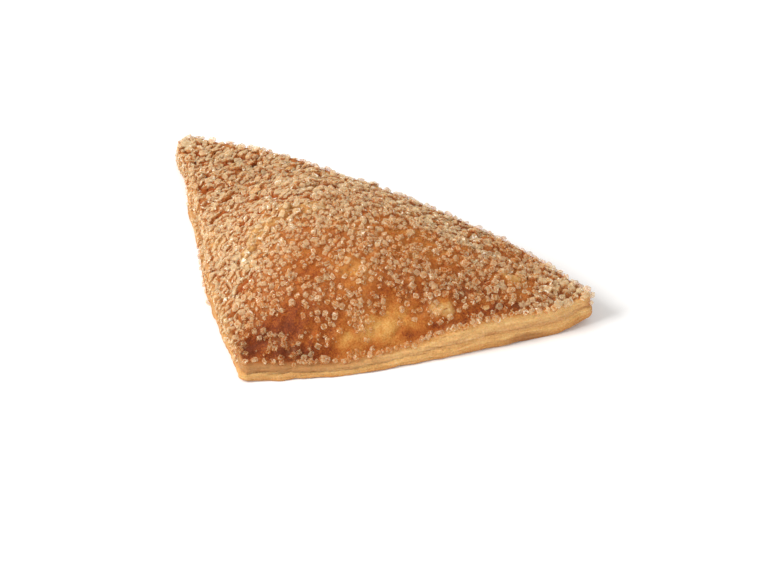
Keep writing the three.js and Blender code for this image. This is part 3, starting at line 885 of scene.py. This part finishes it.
# ---- flakes of torn crust ----
LOOSE_FLAKES = [
    ((60.8, 14.2), 100, 3.6), ((64.3, 12.2), 60, 3.0), ((54.5, 14.4), 70, 3.0),
]  # at the front: where, which way and how long
FLAKE = {"darts": 20000, "apart": 4.5, "most": 130, "size": 2.4, "spread": 0.3, "limits": (1.5, 4.2)}
FLAKE_THICK = 0.28
FLAKE_STEPS = (7, 5)  # points along and across a flake


def pick_flakes(darts, rng):
    """Which darts become flakes, which way these lie and how long they are."""
    chance = darts["leafy"] * ease((darts["dip"] - 0.1) / 0.3) + 0.5 * darts["plate"]
    chance = np.where(darts["inward"] > 0.03, chance + 0.004, 0)
    wanted = np.flatnonzero(rng.random(len(chance)) < 0.05 * chance)
    kept = wanted[spread(darts["at"][wanted], np.full(len(wanted), FLAKE["apart"]))][:FLAKE["most"]]
    way = np.radians(TEAR_TURN + 90 + rng.normal(0, 22, len(kept)))
    long = np.clip(random_sizes(FLAKE, len(kept), rng), *FLAKE["limits"])
    named = [int(np.argmin(np.hypot(*(darts["at"][:, :2] - at).T))) for at, _, _ in LOOSE_FLAKES]
    ways = np.concatenate([way, np.radians([turn for _, turn, _ in LOOSE_FLAKES])])
    return np.concatenate([kept, named]), ways, np.concatenate([long, [size for _, _, size in LOOSE_FLAKES]])


def sheet_faces(nu, nv):
    """Faces of a closed sheet whose upper points come before the lower ones."""
    number = np.arange(nu * nv).reshape(nu, nv)
    quads = [
        (number[i, j], number[i + 1, j], number[i + 1, j + 1], number[i, j + 1])
        for i in range(nu - 1) for j in range(nv - 1)
    ]
    border = list(number[:, 0]) + list(number[-1, 1:]) + list(number[-2::-1, -1]) + list(number[0, -2:0:-1])
    faces = quads + [tuple(k + nu * nv for k in reversed(q)) for q in quads]
    faces += [(b, a, a + nu * nv, b + nu * nv) for a, b in zip(border, border[1:] + border[:1])]
    return np.array(faces)


def build_flakes(crust):
    """Thin curled leaves of crust that have lifted along one side."""
    rng = np.random.default_rng(43)
    darts = surface_darts(crust, FLAKE["darts"], rng)
    kept, way, long = pick_flakes(darts, rng)
    count = len(kept)
    wide = long * rng.uniform(0.35, 0.6, count)
    steps = [np.linspace(-1, 1, n) for n in FLAKE_STEPS]
    u, v = (g.ravel() for g in np.meshgrid(*steps, indexing="ij"))
    taper = 1 - 0.65 * u ** 2
    ragged = 1 + rng.normal(0, 0.16, (count, len(u)))
    curl = rng.uniform(0.25, 0.6, (count, 1))
    x = long[:, None] * 0.5 * u * (1 + 0.3 * (ragged - 1))
    y = wide[:, None] * 0.5 * v * taper * ragged
    z = wide[:, None] * curl * (0.5 + 0.5 * v) ** 2 * taper + 0.1 * rng.normal(0, 1, (count, 1)) * u + 0.12
    upper = np.stack([x, y, z], axis=2)
    points = np.concatenate([upper, upper - np.array([0, 0, FLAKE_THICK])], axis=1)
    frames = flake_frames(darts["normal"][kept], way)
    points = np.einsum("nvk,nkj->nvj", points, frames) + darts["at"][kept][:, None, :]
    each = 2 * len(u)
    faces = (sheet_faces(*FLAKE_STEPS)[None] + np.arange(count)[:, None, None] * each).reshape(-1, 4)
    edge = np.tile(np.concatenate([np.maximum(abs(u), abs(v))] * 2), count)
    looks = {"rim": edge, "tint": np.repeat(rng.random(count), each)}
    return mesh_object("pastry_flakes", points.reshape(-1, 3), faces.tolist(), looks)


# ---- materials ----
class Value:
    """An output in a material's node tree. Sums and products of values become its maths nodes."""

    def __init__(self, tree, socket):
        self.tree, self.socket = tree, socket

    def __add__(self, other):
        return made(self.tree, "ShaderNodeMath", 0, self, other, operation="ADD")

    def __sub__(self, number):
        return self + -number

    def __mul__(self, other):
        return made(self.tree, "ShaderNodeMath", 0, self, other, operation="MULTIPLY")

    def clamped(self):
        self.socket.node.use_clamp = True
        return self


def feed(value, socket):
    """Links the socket to a value, or sets it to a plain number or tuple."""
    if isinstance(value, Value):
        value.tree.links.new(value.socket, socket)
    else:
        socket.default_value = value


def node(tree, kind, *inputs, **settings):
    """A new node, with its first inputs and with other inputs or properties by their names."""
    n = tree.nodes.new(kind)
    for key, value in settings.items():
        if key in n.inputs:
            feed(value, n.inputs[key])
        else:
            setattr(n, key, value)
    for value, socket in zip(inputs, n.inputs):
        feed(value, socket)
    return n


def made(tree, kind, output, *inputs, **settings):
    return Value(tree, node(tree, kind, *inputs, **settings).outputs[output])


def new_material(name):
    m = bpy.data.materials.new(name)
    m.use_nodes = True
    return m, m.node_tree


def dress(m, looks):
    """Sets the inputs of the material's shader."""
    shader = next(n for n in m.node_tree.nodes if n.type == "BSDF_PRINCIPLED")
    for key, value in looks.items():
        feed(value, shader.inputs[key])
    return m


def attribute(tree, name):
    return made(tree, "ShaderNodeAttribute", "Fac", attribute_name=name)


def place_in(tree):
    return made(tree, "ShaderNodeTexCoord", "Object")


def grain_noise(tree, scale, detail, rough):
    """Noise with that many lumps a metre."""
    at = place_in(tree)
    return made(tree, "ShaderNodeTexNoise", "Fac", Vector=at, Scale=scale, Detail=detail, Roughness=rough)


def cell_edges(tree, scale):
    """0 on the borders between cells of that many a metre, rising towards their middles."""
    at = place_in(tree)
    sway = made(tree, "ShaderNodeTexNoise", "Color", Vector=at, Scale=scale * 0.8, Detail=2.0)
    moved = made(tree, "ShaderNodeVectorMath", 0, sway, [0.9 / scale] * 3, at, operation="MULTIPLY_ADD")
    border = {"feature": "DISTANCE_TO_EDGE", "Vector": moved, "Scale": scale}
    return made(tree, "ShaderNodeTexVoronoi", "Distance", **border)


def srgb(r, g, b):
    return tuple(((c / 255 + 0.055) / 1.055) ** 2.4 if c > 10 else c / 255 / 12.92 for c in (r, g, b))


def ramp(value, stops):
    """A colour by a value; the stops' colours are red, green and blue up to 255."""
    n = node(value.tree, "ShaderNodeValToRGB", Fac=value)
    while len(n.color_ramp.elements) < len(stops):
        n.color_ramp.elements.new(0.5)
    for element, (at, colour) in zip(n.color_ramp.elements, stops):
        element.position, element.color = at, (*srgb(*colour), 1)
    return Value(value.tree, n.outputs[0])


def mixed(share, a, b):
    """Colour a turned into b by that share."""
    n = node(a.tree, "ShaderNodeMix", data_type="RGBA", blend_type="MIX", Factor=share)
    feed(a, n.inputs[6])
    feed(b if isinstance(b, Value) else (*srgb(*b), 1), n.inputs[7])
    return Value(a.tree, n.outputs[2])


def bump(height, strength, distance):
    return made(height.tree, "ShaderNodeBump", 0, Height=height, Strength=strength, Distance=distance)


GLAZE = [
    (0.0, (210, 162, 94)), (0.2, (198, 138, 68)), (0.45, (176, 104, 42)), (0.65, (156, 82, 28)),
    (0.82, (126, 58, 22)), (1.0, (94, 40, 16)),
]  # pale to dark baked
# the first two are painted shade: red-brown in the crevices of the top and brown in the creases between the
# cut leaves
CREVICE_SHADE, DOUGH_CREASE_SHADE, TOASTED, UNDERSIDE = (142, 62, 18), (156, 94, 46), (160, 108, 64), (186, 128, 72)
CANDIED = [(0.38, (168, 102, 52)), (0.5, (188, 134, 84)), (0.62, (204, 162, 114)), (0.76, (222, 192, 150))]
FLAKY = [(0.4, (194, 146, 86)), (0.6, (208, 168, 110)), (0.8, (220, 188, 138))]
DOUGH = [(0.28, (168, 108, 56)), (0.44, (204, 150, 88)), (0.58, (222, 174, 112)), (0.74, (238, 202, 148))]
TOAST = [
    (0.0, (166, 94, 40)), (0.16, (206, 142, 76)), (0.34, (232, 184, 116)), (0.47, (214, 160, 98)),
    (0.54, (182, 128, 84)), (0.62, (200, 150, 100)), (0.72, (232, 186, 124)), (0.9, (234, 190, 126)),
    (1.0, (200, 136, 70)),
]  # from the foot of the cut edges to their rim
TORN = [(0.3, (166, 98, 46)), (0.5, (188, 130, 76)), (0.7, (206, 160, 106))]
TORN_EDGE = (216, 180, 132)
# each from a grain's amber foot to its bright top and corners; the paler top and corners are painted light
COARSE_COLOURS = ((186, 86, 26), (221, 152, 80), (239, 211, 166))  # amber, dull and bright
FINE_COLOURS = ((186, 88, 28), (221, 152, 80), (237, 207, 161))
# painted glints: near-white specks on the upper parts of the grains
PAINTED_GLINT = (255, 244, 224)


def sugar_film(tree, dip):
    """How thick melted sugar lies between the grains: none in crevices, less on plates."""
    film = (attribute(tree, "frost") * 1.6 - 0.6).clamped() * (dip * -1.7 + 1.0).clamped()
    return film * (attribute(tree, "plate") * -0.3 + 1.0) * (attribute(tree, "leafy") * 0.1 + 0.3)


def top_colour(tree, dip, fused, film):
    """Glazed crust with red-brown painted shade in its crevices, under the sugar film, and pale flaky plates.
    """
    bake = attribute(tree, "bake") + (grain_noise(tree, 260, 4, 0.6) * 0.6 - 0.3)
    bake = (bake + (grain_noise(tree, 1700, 3, 0.75) - 0.5)).clamped()
    # painted shade: darker red-brown in the crevices
    colour = mixed(dip * 0.8, ramp(bake, GLAZE), CREVICE_SHADE)
    lit = grain_noise(tree, 1100, 3, 0.65) - 0.1 + fused * 0.6
    colour = mixed(film, colour, ramp(lit, CANDIED))
    return mixed(attribute(tree, "plate") * 0.85, colour, ramp(lit, FLAKY))


def cut_colour(tree, dip):
    """Streaked leaves of dough on the cut edges, toasted by their height, with painted shade in the creases
    between them.
    """
    along = made(tree, "ShaderNodeCombineXYZ", 0, attribute(tree, "along"), attribute(tree, "leaf"))
    lines = made(tree, "ShaderNodeTexNoise", "Fac", Vector=along, Scale=1.1, Detail=5.0, Roughness=0.6)
    streaks = lines + (grain_noise(tree, 1500, 3, 0.75) - 0.5)
    # painted shade in the creases between the leaves
    colour = mixed(dip * 0.4, ramp(streaks, DOUGH), DOUGH_CREASE_SHADE)
    colour = mixed(0.5, colour, ramp(attribute(tree, "layer"), TOAST))
    return mixed(attribute(tree, "toasted"), colour, TOASTED)


def crust_material():
    m, tree = new_material("baked_crust")
    dip, fused = attribute(tree, "dip"), cell_edges(tree, 560)
    film = sugar_film(tree, dip)
    colour = mixed(attribute(tree, "cut"), top_colour(tree, dip, fused, film), cut_colour(tree, dip))
    height = grain_noise(tree, 900, 4, 0.65) + grain_noise(tree, 2600, 2, 0.6) * 0.5 + fused * 1.2 * film
    return dress(m, {
        "Base Color": mixed(attribute(tree, "under"), colour, UNDERSIDE), "Roughness": 0.5,
        "Specular IOR Level": 0.12, "Subsurface Weight": 0.2, "Subsurface Radius": (1.0, 0.35, 0.12),
        "Subsurface Scale": 0.0015, "Normal": bump(height, 0.75, 0.0005),
    })


def sugar_material(name, amber, dull, bright):
    """Clear and amber at a grain's foot, milky and more solid above and at its corners; the paler top and
    corners and the white glints are painted light.
    """
    m, tree = new_material(name)
    keys = ("tint", "high", "cloudy", "glint_seed", "rim")
    tint, high, cloudy, glint_seed, rim = (attribute(tree, key) for key in keys)
    frosted = grain_noise(tree, 1500, 2, 0.6)
    # painted light: paler towards a grain's top and at its corners, amber at its foot
    pale = high * 0.8 + (tint * 0.5 - 0.25) + (cloudy * 0.5 - 0.2) + (rim * 0.4 - 0.16)
    colour = ramp((pale + (frosted * 2.4 - 1.2)).clamped(), [(0.1, amber), (0.4, dull), (0.82, bright)])
    # painted glints: white specks where the random numbers run high, on the upper part of a grain
    painted_glint = ((glint_seed + (frosted - 0.5)) * 6.0 - 4.85).clamped() * (high * 1.8 - 0.4).clamped()
    painted_glint = painted_glint * (cloudy + 0.3).clamped()
    solid = high * 0.26 + 0.04 + cloudy * 0.26 + (rim * 0.2 - 0.08)
    return dress(m, {
        "Base Color": mixed(painted_glint, colour, PAINTED_GLINT), "Alpha": (solid + painted_glint * 0.5).clamped(),
        "Roughness": 0.25, "IOR": 1.5, "Specular IOR Level": 0.15, "Subsurface Weight": 0.3,
        "Subsurface Radius": (1.0, 0.75, 0.5), "Subsurface Scale": 0.0008,
        "Normal": bump(frosted, 0.5, 0.0004),
    })


def flake_material():
    m, tree = new_material("torn_leaf")
    mottle = grain_noise(tree, 1200, 3, 0.65) + (attribute(tree, "tint") * 0.4 - 0.2)
    edge = (attribute(tree, "rim") * 2.0 - 1.4).clamped()
    return dress(m, {
        "Base Color": mixed(edge * 0.4, ramp(mottle, TORN), TORN_EDGE), "Roughness": 0.45,
        "Specular IOR Level": 0.25, "Subsurface Weight": 0.3, "Subsurface Radius": (1.0, 0.6, 0.3),
        "Subsurface Scale": 0.001, "Normal": bump(grain_noise(tree, 1500, 3, 0.6), 0.4, 0.0003),
    })


# ---- the stage ----
CAMERA = {"azimuth": 31.0295, "elevation": 38.5, "away": 0.9, "at": (0.017932, 0.019471, 0.0)}
LENS = 115.453
LAMPS = {
    "key": (70, 42, 1.4, 0.6, 18.5), "fill": (-50, 40, 1.6, 1.2, 3),
}  # how far left of the camera and how high in degrees, how far away, size and power
LAMPS_AT = (0, 0, 0.015)


def build_stage():
    mesh = bpy.data.meshes.new("floor")
    s = 6.0  # half its side, in metres
    mesh.from_pydata([(-s, -s, 0), (s, -s, 0), (s, s, 0), (-s, s, 0)], [], [(0, 1, 2, 3)])
    floor = placed("floor", mesh)
    m, _ = new_material("pale_floor")
    mesh.materials.append(dress(m, {"Base Color": (0.93, 0.93, 0.93, 1), "Roughness": 0.9}))
    world = bpy.data.worlds.new("studio")
    world.use_nodes = True
    light = world.node_tree.nodes["Background"].inputs
    light["Color"].default_value, light["Strength"].default_value = (1, 0.98, 0.95, 1), 0.7
    bpy.context.scene.world = world


def looking_at(target, name, data, azimuth, elevation, away):
    """A camera or lamp that looks at the target; azimuth 0 is the front and 90 the right."""
    a, e = math.radians(azimuth), math.radians(elevation)
    back = Vector((math.sin(a) * math.cos(e), -math.cos(a) * math.cos(e), math.sin(e)))
    o = placed(name, data)
    o.location = Vector(target) + back * away
    o.rotation_mode = "QUATERNION"
    o.rotation_quaternion = (-back).to_track_quat("-Z", "Y")
    return o


def build_lamps():
    for name, (left, elevation, away, size, power) in LAMPS.items():
        light = bpy.data.lights.new(name, "AREA")
        light.shape, light.size, light.energy = "SQUARE", size, power
        looking_at(LAMPS_AT, name, light, CAMERA["azimuth"] - left, elevation, away)


def build_camera():
    data = bpy.data.cameras.new("camera")
    data.lens, data.sensor_width = LENS, 36
    data.clip_start, data.clip_end = 0.01, 30
    o = looking_at(CAMERA["at"], "camera", data, CAMERA["azimuth"], CAMERA["elevation"], CAMERA["away"])
    bpy.context.scene.camera = o


crust = build_crust()
body = mesh_object("turnover_crust", crust["points"], crust["faces"], crust["looks"])
body.data.materials.append(crust_material())
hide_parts("turnover")
coarse, taken = build_coarse_sugar(crust)
coarse.data.materials.append(sugar_material("coarse_crystals", *COARSE_COLOURS))
fine = build_fine_sugar(crust, taken)
fine.data.materials.append(sugar_material("fine_crystals", *FINE_COLOURS))
flakes = build_flakes(crust)
flakes.data.materials.append(flake_material())
for piece in (body, coarse, fine, flakes):
    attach(piece, "root")

build_stage()
build_lamps()
build_camera()
bpy.context.scene.view_settings.view_transform = "Standard"
